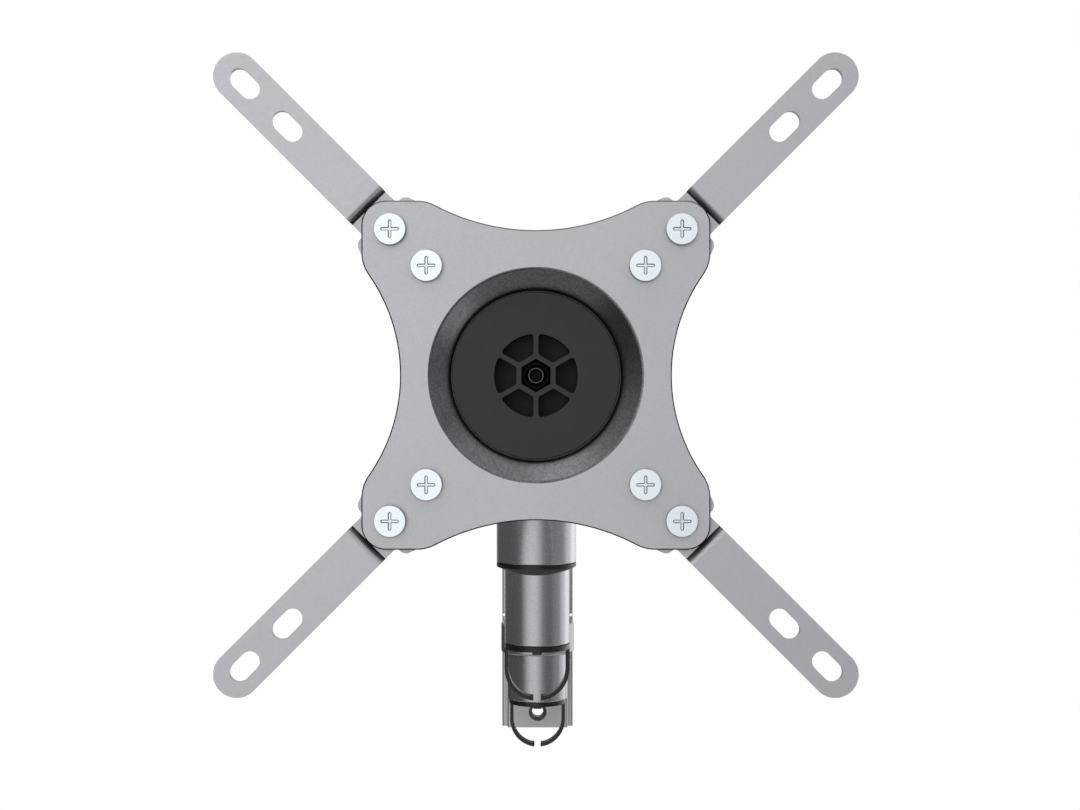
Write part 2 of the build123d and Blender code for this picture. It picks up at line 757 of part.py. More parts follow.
def make_plate_nuts(pattern):
    """Four flange nuts behind the extension arms."""
    near = arm_back + face_gap
    far = near + screw_nut_height
    nuts = []
    for x, z in corners(pattern):
        nut = rod_y(x, z, near, near + screw_nut_flange, screw_nut_flange_d)
        nut += slab(hexagon(screw_nut_af), near, far, x, z)
        bore = screw_d + 2 * running_gap
        nuts.append((nut - rod_y(x, z, near - 1, far + 1, bore)).solid())
    return Compound(children=nuts)


# Extension arms

def tail_circles():
    """The round corners that the arm's fan-shaped tail is drawn around."""
    rings = [Pos(shoulder_along, side * shoulder_across) * Rot(0, 0, 180) * Circle(shoulder_r)
             for side in (-1, 1)]
    steps = 4
    for i in range(steps + 1):
        turn = math.radians(180 - slot_tilt_span + 2 * slot_tilt_span * i / steps)
        place = Pos(screw_spread * math.cos(turn), screw_spread * math.sin(turn))
        rings.append(place * Circle(tail_margin))
    return rings


def extension_outline():
    """The arm seen from the front, its pivot at the origin and its tip along X."""
    edges = [edge for ring in tail_circles() for edge in ring.edges()]
    tail = make_hull(edges)
    end = far_slot + reach_end
    bar = Pos(end / 2, 0) * Rectangle(end, reach_width)
    outline = tail + bar + Pos(end, 0) * Circle(reach_width / 2)
    outline -= Circle(screw_d / 2 + running_gap)
    track = CenterArc((0, 0), screw_spread, 180 - slot_tilt_span, 2 * slot_tilt_span)
    outline -= SlotArc(track, screw_d + 2 * slot_gap)
    for along in (near_slot, far_slot):
        outline -= Pos(along, 0) * SlotOverall(slot_length, slot_width)
    return outline


def crank_profile():
    """The sheet seen edge on: along the arm, and forward of the wall."""
    slope = math.atan2(front_thickness, crank_run)
    shift = sheet * math.tan(slope / 2)
    low = -rear_y
    high = -front_y
    start = -screw_spread - tail_margin - 1
    end = far_slot + reach_end + reach_width
    bends = [(crank_start, low), (crank_start + crank_run, high),
             (crank_start + crank_run + shift, high - sheet), (crank_start + shift, low - sheet)]
    profile = Polygon((start, low), bends[0], bends[1], (end, high), (end, high - sheet),
                      bends[2], bends[3], (start, low - sheet), align=None)

    def at(point):
        return [v for v in profile.vertices()
                if abs(v.X - point[0]) < 0.01 and abs(v.Y - point[1]) < 0.01]

    inner = at(bends[0]) + at(bends[2])
    profile = fillet(inner, crank_inner_r)
    outer = at(bends[1]) + at(bends[3])
    return fillet(outer, crank_outer_r)


def make_extension_arm(direction):
    """One extension arm, cranked forward to lie flush with the front plate."""
    depth = front_thickness + sheet + 2
    flat = extrude(Plane(origin=(0, 0, -front_y - depth + 1)) * extension_outline(), depth)
    necks = [e for e in flat.edges().filter_by(Axis.Z)
             if shoulder_along < e.center().X < shoulder_along + 2 * shoulder_r
             and abs(abs(e.center().Y) - reach_width / 2) < 0.01]
    flat = fillet(necks, shoulder_blend)
    across_arm = Plane(origin=(0, 2 * reach_width, 0), x_dir=(1, 0, 0), z_dir=(0, -1, 0))
    bent = extrude(across_arm * crank_profile(), 4 * reach_width, dir=(0, -1, 0))
    arm = flat & bent
    turn = math.radians(direction)
    half = outer_pattern / 2
    pivot = (math.copysign(half, math.cos(turn)), 0,
             face_height + math.copysign(half, math.sin(turn)))
    place = Plane(origin=pivot, x_dir=(math.cos(turn), 0, math.sin(turn)), z_dir=(0, -1, 0))
    return place * arm


def build():
    """Every node of the mount by name."""
    parts = {
        "wall_plate": make_wall_plate(),
        "wall_bracket": make_wall_bracket(),
        "bracket_screws": make_bracket_screws(),
        "rear_arm": make_rear_arm(),
        "front_arm": make_front_arm(),
        "head_post": make_head_post(),
        "wall_cap_clip": make_cap_clip(wall_axis, post_bottom, post_cap_d),
        "elbow_cap_clip": make_cap_clip(elbow_axis, rear_arm_bottom, clip_width),
        "head_end_cap": make_end_cap(head_axis, front_arm_bottom),
        "wall_top_cap": make_top_cap(wall_axis, rear_arm_top),
        "elbow_top_cap": make_top_cap(elbow_axis, front_arm_top),
        "head_top_cap": make_top_cap(head_axis, head_post_top),
        "tilt_bracket": make_tilt_bracket(),
        "tilt_bolt": make_tilt_bolt(),
        "tilt_nut": make_tilt_nut(),
        "tilt_friction_washers": make_tilt_friction_washers(),
        "tilt_washers": make_tilt_washers(),
        "front_plate": make_front_plate(),
        "clamp_disc": make_clamp_disc(),
        "hub_nut": make_hub_nut(),
        "hub_bolt": make_hub_bolt(),
        "dish_friction_ring": make_friction_ring(),
        "inner_screws": make_plate_screws(inner_pattern),
        "outer_screws": make_plate_screws(outer_pattern),
        "inner_nuts": make_plate_nuts(inner_pattern),
        "outer_nuts": make_plate_nuts(outer_pattern),
    }
    pivots = [("wall_pivot", wall_axis, post_bottom, rear_arm_bottom, rear_arm_top),
              ("elbow_pivot", elbow_axis, rear_arm_bottom, front_arm_bottom, front_arm_top),
              ("head_pivot", head_axis, front_arm_bottom, head_post_bottom, head_post_top)]
    for name, y, foot_bottom, head_bottom, head_top in pivots:
        foot_top = foot_bottom + barrel_height
        for piece, shape in make_pivot(y, foot_bottom, foot_top, head_top).items():
            parts[name + "_" + piece] = shape
        parts[name + "_bushes"] = make_bushes(y, head_bottom, head_top)
    directions = {"upper_right": 45, "upper_left": 135, "lower_left": 225, "lower_right": 315}
    for corner, direction in directions.items():
        parts["arm_" + corner] = make_extension_arm(direction)
    return parts


os.makedirs("parts", exist_ok=True)
for node, shape in build().items():
    export_step(shape, f"parts/{node}.step")
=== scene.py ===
import math

import bpy
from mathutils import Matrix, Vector


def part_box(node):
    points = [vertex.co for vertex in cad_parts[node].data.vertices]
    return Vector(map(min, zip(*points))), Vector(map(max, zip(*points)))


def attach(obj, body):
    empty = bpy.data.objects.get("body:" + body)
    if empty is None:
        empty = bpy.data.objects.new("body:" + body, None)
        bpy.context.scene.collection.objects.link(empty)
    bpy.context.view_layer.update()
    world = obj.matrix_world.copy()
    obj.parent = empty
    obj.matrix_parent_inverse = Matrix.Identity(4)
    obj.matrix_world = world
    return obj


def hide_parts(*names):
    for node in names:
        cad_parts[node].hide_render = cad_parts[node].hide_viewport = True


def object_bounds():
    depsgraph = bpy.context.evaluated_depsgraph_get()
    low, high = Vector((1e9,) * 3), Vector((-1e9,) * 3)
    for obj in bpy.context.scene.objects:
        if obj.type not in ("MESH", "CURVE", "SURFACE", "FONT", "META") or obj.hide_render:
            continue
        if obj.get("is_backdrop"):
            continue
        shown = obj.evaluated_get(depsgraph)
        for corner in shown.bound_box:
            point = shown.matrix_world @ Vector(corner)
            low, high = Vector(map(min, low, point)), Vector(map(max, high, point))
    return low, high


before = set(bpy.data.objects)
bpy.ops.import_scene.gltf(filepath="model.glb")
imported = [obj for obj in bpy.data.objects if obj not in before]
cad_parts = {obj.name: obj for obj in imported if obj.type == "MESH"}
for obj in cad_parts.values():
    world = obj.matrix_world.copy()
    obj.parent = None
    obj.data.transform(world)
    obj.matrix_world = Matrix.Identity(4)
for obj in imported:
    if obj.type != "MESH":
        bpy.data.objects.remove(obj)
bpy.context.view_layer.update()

bl_info = {
    "name": "Folding display mount",
    "version": (1, 0, 0),
    "blender": (4, 5, 0),
    "location": "View3D > Sidebar > Mount",
    "description": "Finishes, fasteners and stage of a folding display mount",
    "category": "Object",
}

MM = 0.001
PLATE_LOW, PLATE_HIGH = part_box("front_plate")
FACE_Y = PLATE_LOW.y
FACE_Z = (PLATE_LOW.z + PLATE_HIGH.z) / 2
DISC_FACE_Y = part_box("clamp_disc")[0].y
WALL_PLATE_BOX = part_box("wall_plate")
DISH_MOUTH_R = 39.0 * MM
PLATE_EDGE_R = 42.0 * MM
DISH_SEAT_R = 29.9 * MM
DISH_SEAT_SHADE = 2.4 * MM
CRANK_START = 81.4 * MM
CRANK_END = 84.2 * MM
CRANK_FOOT = (0.3 * MM, 1.5 * MM)
HUB_POCKET_R = 14.7 * MM
COLUMN_R = 15.5 * MM
WALL_HOLE_R = 6.9 * MM
WALL_HOLE_Z = 50.0 * MM
CORNERS = ("upper_right", "upper_left", "lower_left", "lower_right")
PIVOTS = ("wall_pivot", "elbow_pivot", "head_pivot")

# Roughness, metallic share, sparkle and relief of each paint
SHEET_PAINT = (0.46, 0.75, 0.05, 0.00002)
DISH_PAINT = (0.30, 0.9, 0.28, 0.0001)
DISH_GRAIN_SHARE = 1.25
CASTING_PAINT = (0.27, 0.95, 0.08, 0.000016)

# Fasteners: widths over the flats, heights, radii, and a thread's pitch and ridge
NUT_FLATS = 8.0 * MM
NUT_FLANGE = 1.2 * MM
NUT_FLANGE_R = 5.5 * MM
NUT_FLANGE_SLOPE = 0.84
NUT_BORE_R = 2.55 * MM
TILT_FLATS = 13.0 * MM
TILT_HEAD = 5.3 * MM
TILT_BOLT_R = 4.0 * MM
HUB_FLATS = 10.0 * MM
HUB_HEAD = 4.0 * MM
HUB_BOLT_R = 3.0 * MM
HUB_END = 0.5 * MM
HUB_END_SHARE = 0.97
HUB_RIM = 0.25 * MM
HUB_CUP = 3.0 * MM
HUB_BORE_R = 3.05 * MM
HUB_SINK_R = 3.7 * MM
M6_PITCH = 1.0 * MM
M6_TURNS = 5
M8_PITCH = 1.25 * MM
RIDGE_SHARE = 0.5
CHAMFER_SHARE = 0.06
CHAMFER_FACE_SHARE = 0.475

# Stage
FLOOR_GREY = 0.62
ROOM_LEVELS = (0.09, 0.88)
ROOM_FROM = -0.2
STRAIGHT_BEHIND = (0.90, 0.97)
LAMP_SIDE = 1.6
LAMP_POWER = 1.5
LAMP_FROM = (-0.85, -1.05, 0.85)


class MountSizes(bpy.types.PropertyGroup):
    camera_distance: bpy.props.FloatProperty(
        name="Camera distance", description="From the lens to the front of the plate",
        default=0.550, unit="LENGTH")
    camera_side: bpy.props.FloatProperty(
        name="Camera side", description="How far the lens stands to the right of the middle",
        default=0.00140, unit="LENGTH")
    camera_drop: bpy.props.FloatProperty(
        name="Camera drop", description="How far the lens stands under the plate's middle",
        default=0.01022, unit="LENGTH")
    camera_lens: bpy.props.FloatProperty(
        name="Focal length", description="On a sensor 36 mm wide", default=53.46)
    floor_drop: bpy.props.FloatProperty(
        name="Floor drop", description="From the lowest point of the mount to the floor",
        default=0.75, unit="LENGTH")
    floor_size: bpy.props.FloatProperty(
        name="Floor size", description="Side of the square floor", default=1.8, unit="LENGTH")
    grain: bpy.props.FloatProperty(
        name="Paint grain", description="Width of one grain of the metallic paint",
        default=0.00042, unit="LENGTH")
    plastic_grain: bpy.props.FloatProperty(
        name="Plastic grain", description="Width of one grain of the moulded plastic",
        default=0.00030, unit="LENGTH")


class MountColours(bpy.types.PropertyGroup):
    sheet: bpy.props.FloatVectorProperty(
        name="Sheet paint", description="Plate and extension arms", subtype="COLOR",
        default=(0.503, 0.512, 0.535))
    # Darker copy of the sheet paint: painted shade on the dish's cone and floor
    dish: bpy.props.FloatVectorProperty(
        name="Dish paint", description="Cone and floor of the dish", subtype="COLOR",
        default=(0.146, 0.148, 0.156))
    # Painted shade: a near-black copy of the sheet paint on the plate's bevelled and cut edges
    edge: bpy.props.FloatVectorProperty(
        name="Edge paint", description="Bevelled and cut edges of the plate",
        subtype="COLOR", default=(0.022, 0.023, 0.025))
    # Painted shade, lighter than on the other edges: the plate's upward edges and the wall holes'
    # countersinks
    top_edge: bpy.props.FloatVectorProperty(
        name="Top edge paint", description="Bevelled edges that face upwards",
        subtype="COLOR", default=(0.13, 0.135, 0.14))
    casting: bpy.props.FloatVectorProperty(
        name="Casting paint", description="Barrels, arms and tilt head", subtype="COLOR",
        default=(0.367, 0.373, 0.390))
    # Painted shade: a darker copy of the casting paint on the collar's sides
    collar: bpy.props.FloatVectorProperty(
        name="Collar paint", description="Sides of the wall bracket's collar", subtype="COLOR",
        default=(0.235, 0.239, 0.25))
    profile: bpy.props.FloatVectorProperty(
        name="Wall profile", description="Aluminium wall plate", subtype="COLOR",
        default=(0.415, 0.42, 0.436))
    zinc: bpy.props.FloatVectorProperty(
        name="Zinc", description="Plate screws", subtype="COLOR", default=(0.62, 0.67, 0.71))
    # Painted shade: a darker copy of the zinc on the screw heads' sides and recesses
    zinc_shade: bpy.props.FloatVectorProperty(
        name="Dull zinc, painted shade", description="Sides and recesses of the plate screws",
        subtype="COLOR", default=(0.30, 0.32, 0.34))
    steel: bpy.props.FloatVectorProperty(
        name="Plated steel", description="Bolts, nuts and washers", subtype="COLOR",
        default=(0.56, 0.57, 0.58))
    black_plastic: bpy.props.FloatVectorProperty(
        name="Black plastic", description="Caps and cable clips", subtype="COLOR",
        default=(0.007, 0.007, 0.0074))
    disc: bpy.props.FloatVectorProperty(
        name="Disc plastic", description="Clamp disc", subtype="COLOR",
        default=(0.018, 0.018, 0.018))
    # Painted shade: a darker copy of the disc plastic on the pocket floors
    pocket: bpy.props.FloatVectorProperty(
        name="Pocket plastic", description="Pockets and bore of the clamp disc",
        subtype="COLOR", default=(0.006, 0.006, 0.006))
    # Painted shade: a still darker copy on the pockets' walls and in the bore
    pocket_wall: bpy.props.FloatVectorProperty(
        name="Pocket walls", description="Walls of the clamp disc's pockets",
        subtype="COLOR", default=(0.001, 0.001, 0.001))
    black_steel: bpy.props.FloatVectorProperty(
        name="Blackened steel", description="Hub bolt and nut", subtype="COLOR",
        default=(0.002, 0.002, 0.0021))
    # Painted highlight: a lighter copy of the blackened steel on the hub bolt's end rim
    rim_highlight: bpy.props.FloatVectorProperty(
        name="Rim highlight", description="Rim of the hub bolt's cupped end", subtype="COLOR",
        default=(0.10, 0.10, 0.105))
    nylon: bpy.props.FloatVectorProperty(
        name="Nylon", description="Bushes and glide washers", subtype="COLOR",
        default=(0.72, 0.71, 0.66))


# Node helpers

def add_node(tree, kind, label="", **settings):
    """A new shader node with its settings."""
    node = tree.nodes.new(kind)
    node.label = label
    for name, value in settings.items():
        setattr(node, name, value)
    return node


def start_material(name, roughness, metallic):
    """A material with its shader, and the object coordinates that patterns read."""
    material = bpy.data.materials.new(name)
    material.use_nodes = True
    tree = material.node_tree
    shader = tree.nodes["Principled BSDF"]
    shader.inputs["Roughness"].default_value = roughness
    shader.inputs["Metallic"].default_value = metallic
    place = add_node(tree, "ShaderNodeTexCoord", "Object place")
    return material, tree, shader, place.outputs["Object"]


def scale_of(width):
    """The texture scale at which one grain is that wide, in metres."""
    return 1.0 / width


def noise(tree, place, width, detail=2.0, label=""):
    """A soft noise with features of that width."""
    texture = add_node(tree, "ShaderNodeTexNoise", label)
    texture.inputs["Scale"].default_value = scale_of(width)
    texture.inputs["Detail"].default_value = detail
    tree.links.new(place, texture.inputs["Vector"])
    return texture.outputs["Fac"]


def flakes(tree, place, width, label=""):
    """One random grey for each small cell, as metal flakes in paint."""
    texture = add_node(tree, "ShaderNodeTexVoronoi", label)
    texture.inputs["Scale"].default_value = scale_of(width)
    tree.links.new(place, texture.inputs["Vector"])
    grey = add_node(tree, "ShaderNodeRGBToBW", "Flake shade")
    tree.links.new(texture.outputs["Color"], grey.inputs["Color"])
    return grey.outputs["Val"]


def spread(tree, value, low, high, label=""):
    """A value from 0 to 1 spread between two others."""
    node = add_node(tree, "ShaderNodeMapRange", label)
    node.inputs["To Min"].default_value = low
    node.inputs["To Max"].default_value = high
    tree.links.new(value, node.inputs["Value"])
    return node.outputs["Result"]


def shade(tree, colour, factor, label=""):
    """A colour made lighter or darker by a factor."""
    node = add_node(tree, "ShaderNodeVectorMath", label, operation="SCALE")
    if isinstance(colour, bpy.types.NodeSocket):
        tree.links.new(colour, node.inputs[0])
    else:
        node.inputs[0].default_value = colour[:]
    tree.links.new(factor, node.inputs["Scale"])
    return node.outputs["Vector"]


def multiply(tree, first, second, label=""):
    """Two values multiplied."""
    node = add_node(tree, "ShaderNodeMath", label, operation="MULTIPLY")
    tree.links.new(first, node.inputs[0])
    tree.links.new(second, node.inputs[1])
    return node.outputs["Value"]


def raise_bump(tree, shader, height, distance, strength):
    """A bump from a height."""
    node = add_node(tree, "ShaderNodeBump", "Fine relief")
    node.inputs["Distance"].default_value = distance
    node.inputs["Strength"].default_value = strength
    tree.links.new(height, node.inputs["Height"])
    tree.links.new(node.outputs["Normal"], shader.inputs["Normal"])


# Finishes

def metallic_paint(name, colour, grain, roughness, metallic, sparkle, relief):
    """Metallic paint: small flakes, a faint cloudiness and an eggshell surface."""
    material, tree, shader, place = start_material(name, roughness, metallic)
    flake = spread(tree, flakes(tree, place, grain, "Flakes"), 1 - sparkle, 1 + sparkle)
    cloud = spread(tree, noise(tree, place, 0.03, 3.0, "Cloudiness"), 0.97, 1.03)
    tint = shade(tree, colour, multiply(tree, flake, cloud), "Paint")
    tree.links.new(tint, shader.inputs["Base Color"])
    gloss = spread(tree, noise(tree, place, grain * 3, 2.0, "Gloss"),
                   roughness - 0.05, roughness + 0.05)
    tree.links.new(gloss, shader.inputs["Roughness"])
    raise_bump(tree, shader, noise(tree, place, grain * 1.6, 2.0, "Eggshell"), relief, 0.5)
    return material, tree, shader, place, tint


def sheet_finish(name, colour, sizes):
    """Eggshell metallic paint on the plate and the extension arms; in darker colours it is the
    painted shade on the plate's edges and in the wall holes' countersinks.
    """
    return metallic_paint(name, colour, sizes.grain, *SHEET_PAINT)[0]


def from_middle(tree, place):
    """Where a point lies, counted from the middle of the plate."""
    centred = add_node(tree, "ShaderNodeVectorMath", "From the plate's middle",
                       operation="SUBTRACT")
    centred.inputs[1].default_value = (0, 0, FACE_Z)
    tree.links.new(place, centred.inputs[0])
    return centred.outputs["Vector"]


def crank_finish(colours, sizes):
    """The sheet paint on a crank, with painted shade that darkens it towards its foot beside the
    plate.
    """
    material, tree, shader, place, tint = metallic_paint(
        "crank_paint_shaded", colours.sheet, sizes.grain, *SHEET_PAINT)
    quarter = add_node(tree, "ShaderNodeVectorMath", "Any corner", operation="ABSOLUTE")
    tree.links.new(from_middle(tree, place), quarter.inputs[0])
    along = add_node(tree, "ShaderNodeVectorMath", "Along the arm", operation="DOT_PRODUCT")
    along.inputs[1].default_value = (math.sqrt(0.5), 0, math.sqrt(0.5))
    tree.links.new(quarter.outputs["Vector"], along.inputs[0])
    foot = add_node(tree, "ShaderNodeMapRange", "Shaded foot")
    foot.inputs["From Min"].default_value = CRANK_START + CRANK_FOOT[0]
    foot.inputs["From Max"].default_value = CRANK_START + CRANK_FOOT[1]
    foot.inputs["To Min"].default_value = 0.06
    foot.inputs["To Max"].default_value = 0.95
    tree.links.new(along.outputs["Value"], foot.inputs["Value"])
    shaded = shade(tree, tint, foot.outputs["Result"], "Crank shade")
    tree.links.new(shaded, shader.inputs["Base Color"])
    return material


def dish_finish(colours, sizes):
    """A darker copy of the sheet paint inside the plate's dish as painted shade, with more
    painted shade where its seat meets the disc.
    """
    material, tree, shader, place, tint = metallic_paint(
        "dish_paint_painted_shade", colours.dish, sizes.grain * DISH_GRAIN_SHARE, *DISH_PAINT)
    flat = add_node(tree, "ShaderNodeVectorMath", "Across the dish", operation="MULTIPLY")
    flat.inputs[1].default_value = (1, 0, 1)
    tree.links.new(from_middle(tree, place), flat.inputs[0])
    radius = add_node(tree, "ShaderNodeVectorMath", "Radius", operation="LENGTH")
    tree.links.new(flat.outputs["Vector"], radius.inputs[0])
    depth = add_node(tree, "ShaderNodeMapRange", "Shaded seat", interpolation_type="SMOOTHSTEP")
    depth.inputs["From Min"].default_value = DISH_SEAT_R
    depth.inputs["From Max"].default_value = DISH_SEAT_R + DISH_SEAT_SHADE
    depth.inputs["To Min"].default_value = 0.45
    tree.links.new(radius.outputs["Value"], depth.inputs["Value"])
    shaded = shade(tree, tint, depth.outputs["Result"], "Seat shade")
    tree.links.new(shaded, shader.inputs["Base Color"])
    return material


def casting_finish(name, colour, sizes):
    """Glossier metallic silver on the barrels, arms and tilt head."""
    return metallic_paint(name, colour, sizes.grain, *CASTING_PAINT)[0]


def profile_finish(colours, sizes):
    """Drawn aluminium with fine upright lines."""
    material, tree, shader, place = start_material("profile_drawn_aluminium", 0.42, 0.9)
    long = add_node(tree, "ShaderNodeMapping", "Drawn upright")
    long.inputs["Scale"].default_value = (1, 1, 0.02)
    tree.links.new(place, long.inputs["Vector"])
    lines = noise(tree, long.outputs["Vector"], 0.0005, 3.0, "Drawn lines")
    tint = shade(tree, colours.profile, spread(tree, lines, 0.93, 1.07), "Aluminium")
    tree.links.new(tint, shader.inputs["Base Color"])
    tree.links.new(spread(tree, lines, 0.36, 0.5), shader.inputs["Roughness"])
    raise_bump(tree, shader, lines, 0.00001, 0.4)
    return material


def plated_finish(name, colour, roughness, metallic, width):
    """Plated or blackened steel with a faint, patchy sheen."""
    material, tree, shader, place = start_material(name, roughness, metallic)
    patch = noise(tree, place, width, 3.0, "Patches")
    tint = shade(tree, colour, spread(tree, patch, 0.94, 1.06), "Plating")
    tree.links.new(tint, shader.inputs["Base Color"])
    gloss = spread(tree, noise(tree, place, width / 3, 2.0, "Gloss"),
                   roughness - 0.06, roughness + 0.06)
    tree.links.new(gloss, shader.inputs["Roughness"])
    raise_bump(tree, shader, patch, 0.00001, 0.3)
    return material


def moulded_finish(name, colour, roughness, grain, relief, specular=0.5):
    """Moulded plastic with a fine spark-eroded texture."""
    material, tree, shader, place = start_material(name, roughness, 0.0)
    shader.inputs["Specular IOR Level"].default_value = specular
    texture = noise(tree, place, grain, 3.0, "Moulded texture")
    tint = shade(tree, colour, spread(tree, texture, 0.88, 1.12), "Plastic")
    tree.links.new(tint, shader.inputs["Base Color"])
    gloss = spread(tree, noise(tree, place, 0.004, 2.0, "Sheen"),
                   roughness - 0.05, roughness + 0.05)
    tree.links.new(gloss, shader.inputs["Roughness"])
    raise_bump(tree, shader, texture, relief, 0.5)
    return material


def dress(names, material):
    """Gives CAD nodes one material."""
    for name in names:
        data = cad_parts[name].data
        data.materials.clear()
        data.materials.append(material)


def finish_faces(node, finishes, choose):
    """Adds finishes to a CAD node, and lets a rule choose the one of each face."""
    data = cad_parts[node].data
    for material in finishes:
        data.materials.append(material)
    for face in data.polygons:
        face.material_index = choose(face)


def across_plate(face):
    """A face's place across the front plate, from the plate's middle."""
    return Vector((face.center.x, 0, face.center.z - FACE_Z))


def choose_on_plate(face):
    """1 in the dish, 3 on edges that face upwards, 2 on the other edges, 0 elsewhere; 1 to 3 get
    painted shade, lighter on the upward edges.
    """
    flat = across_plate(face)
    inward = face.normal.y < 0.2 and face.normal.dot(flat) < 0.3 * flat.length
    if flat.length < DISH_MOUTH_R and inward and face.center.y > FACE_Y + 0.003 * MM:
        return 1
    if flat.length > PLATE_EDGE_R and abs(face.normal.y) < 0.95:
        return 3 if face.normal.z > 0.4 else 2
    return 0


def choose_on_arm(face):
    """1 on the front of the crank, which gets painted shade."""
    along = (abs(face.center.x) + abs(face.center.z - FACE_Z)) / math.sqrt(2)
    return int(CRANK_START < along < CRANK_END and -0.9999 < face.normal.y < -0.1)


def choose_on_collar(face):
    """1 on the collar's sides, beyond the post, which get painted shade."""
    return int(abs(face.center.x) > COLUMN_R)


def choose_on_dome(face):
    """1 on the underside of the head barrel's cap, which gets painted shade."""
    return int(face.normal.z < -0.3)


def choose_in_wall_hole(face):
    """1 in the countersinks of the wall plate's two holes, which get painted shade."""
    low, high = WALL_PLATE_BOX
    rise = abs(face.center.z - (low.z + high.z) / 2) - WALL_HOLE_Z
    return int(math.hypot(face.center.x, rise) < WALL_HOLE_R and -0.95 < face.normal.y < 0.3)


def choose_on_disc(face):
    """1 on the floors of the hub's pockets, 2 on their walls and in the hexagon bore; both get
    painted shade.
    """
    sunk = face.center.y > DISC_FACE_Y + 0.2 * MM and face.normal.y < 0.5
    if across_plate(face).length < HUB_POCKET_R and sunk:
        return 1 if face.normal.y < -0.5 else 2
    return 0


def choose_on_screw(face):
    """1 on a screw head's side and in its cross recess, which get painted shade."""
    return int(face.center.y < FACE_Y - 0.02 * MM and abs(face.normal.y) < 0.8)


def settings(context):
    """The sizes and colours kept with the scene."""
    return context.scene.mount_sizes, context.scene.mount_colours


class MOUNT_OT_sheet_metal(bpy.types.Operator):
    """Paint the front plate and the four extension arms"""
    bl_idname = "mount.sheet_metal"
    bl_label = "Paint plate and arms"

    def execute(self, context):
        sizes, colours = settings(context)
        crank = crank_finish(colours, sizes)
        dress(["arm_" + corner for corner in CORNERS] + ["front_plate"],
              sheet_finish("sheet_paint_silver_grey", colours.sheet, sizes))
        # The cranks get painted shade towards their feet
        for corner in CORNERS:
            finish_faces("arm_" + corner, [crank], choose_on_arm)
        # The dish and the plate's edges get darker copies of the sheet paint as painted shade
        finish_faces("front_plate",
                     [dish_finish(colours, sizes),
                      sheet_finish("plate_edge_painted_shade", colours.edge, sizes),
                      sheet_finish("plate_top_edge_painted_shade", colours.top_edge, sizes)],
                     choose_on_plate)
        return {"FINISHED"}


class MOUNT_OT_castings(bpy.types.Operator):
    """Paint the barrels, the folding arms and the tilt head"""
    bl_idname = "mount.castings"
    bl_label = "Paint castings"

    def execute(self, context):
        sizes, colours = settings(context)
        dress(["wall_bracket", "rear_arm", "front_arm", "head_post", "tilt_bracket"],
              casting_finish("casting_paint_metallic_silver", colours.casting, sizes))
        # Painted shade: a darker copy of the casting paint on the collar's sides
        collar = casting_finish("collar_sides_painted_shade", colours.collar, sizes)
        finish_faces("wall_bracket", [collar], choose_on_collar)
        return {"FINISHED"}


class MOUNT_OT_profile(bpy.types.Operator):
    """Finish the drawn wall plate"""
    bl_idname = "mount.profile"
    bl_label = "Finish wall plate"

    def execute(self, context):
        sizes, colours = settings(context)
        dress(["wall_plate"], profile_finish(colours, sizes))
        # Painted shade: a dark copy of the sheet paint in the countersinks of the wall holes
        finish_faces("wall_plate", [sheet_finish("wall_hole_shaded", colours.top_edge, sizes)],
                     choose_in_wall_hole)
        return {"FINISHED"}


class MOUNT_OT_plastics(bpy.types.Operator):
    """Finish the caps, the cable clips, the clamp disc and the glide washers"""
    bl_idname = "mount.plastics"
    bl_label = "Finish plastics"

    def execute(self, context):
        sizes, colours = settings(context)
        caps = moulded_finish("caps_black_plastic", colours.black_plastic, 0.33,
                              sizes.plastic_grain, 0.00001, 0.35)
        dress(["wall_cap_clip", "elbow_cap_clip", "head_end_cap", "wall_top_cap",
               "elbow_top_cap", "head_top_cap"], caps)
        # Painted shade: the cap's underside gets a copy of the black plastic with weaker sheen
        dome = moulded_finish("dome_underside_painted_shade", colours.black_plastic, 0.4,
                              sizes.plastic_grain, 0.00001, 0.12)
        finish_faces("head_end_cap", [dome], choose_on_dome)
        dress(["clamp_disc"], moulded_finish("disc_dark_plastic", colours.disc, 0.55,
                                             sizes.plastic_grain, 0.000015))
        # Painted shade: darker copies of the disc plastic on the pockets' floors and walls
        floors = moulded_finish("pocket_floor_painted_shade", colours.pocket, 0.7,
                                sizes.plastic_grain, 0.000015)
        walls = moulded_finish("pocket_wall_painted_shade", colours.pocket_wall, 0.8,
                               sizes.plastic_grain, 0.000015, 0.1)
        finish_faces("clamp_disc", [floors, walls], choose_on_disc)
        nylon = moulded_finish("natural_nylon", colours.nylon, 0.45, sizes.plastic_grain,
                               0.00001)
        dress(["tilt_friction_washers", "dish_friction_ring"]
              + [p + "_glide_washer" for p in PIVOTS] + [p + "_bushes" for p in PIVOTS], nylon)
        return {"FINISHED"}


